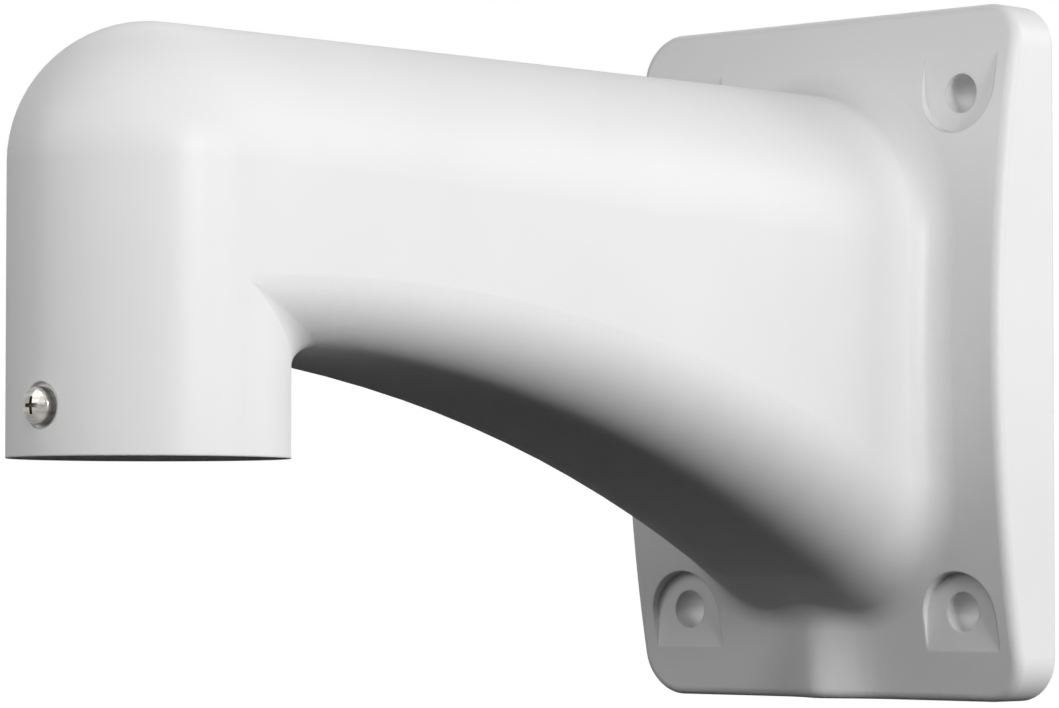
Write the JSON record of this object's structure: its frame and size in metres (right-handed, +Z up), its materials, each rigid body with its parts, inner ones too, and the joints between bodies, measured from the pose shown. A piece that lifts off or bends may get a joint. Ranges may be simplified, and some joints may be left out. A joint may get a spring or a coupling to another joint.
{
  "type": "camera wall bracket",
  "caption": "Cast wall bracket: bowed wall plate, hollow tapering arm and a downward pipe-thread socket with a lock screw, for hanging a camera.",
  "frame": {"origin": "centre of the wall plate's flat back face, on the wall", "axes": "+Z up, -Y out from the wall along the arm, +X to the right of someone facing the wall"},
  "size_m": [0.114, 0.2577, 0.16],
  "materials": {
    "white_coat": "fine-textured white powder coat on cast aluminium",
    "stainless": "polished stainless steel"
  },
  "bodies": {
    "root": {"bracket_body": "white_coat", "lock_screw": "stainless"}
  },
  "joints": []
}
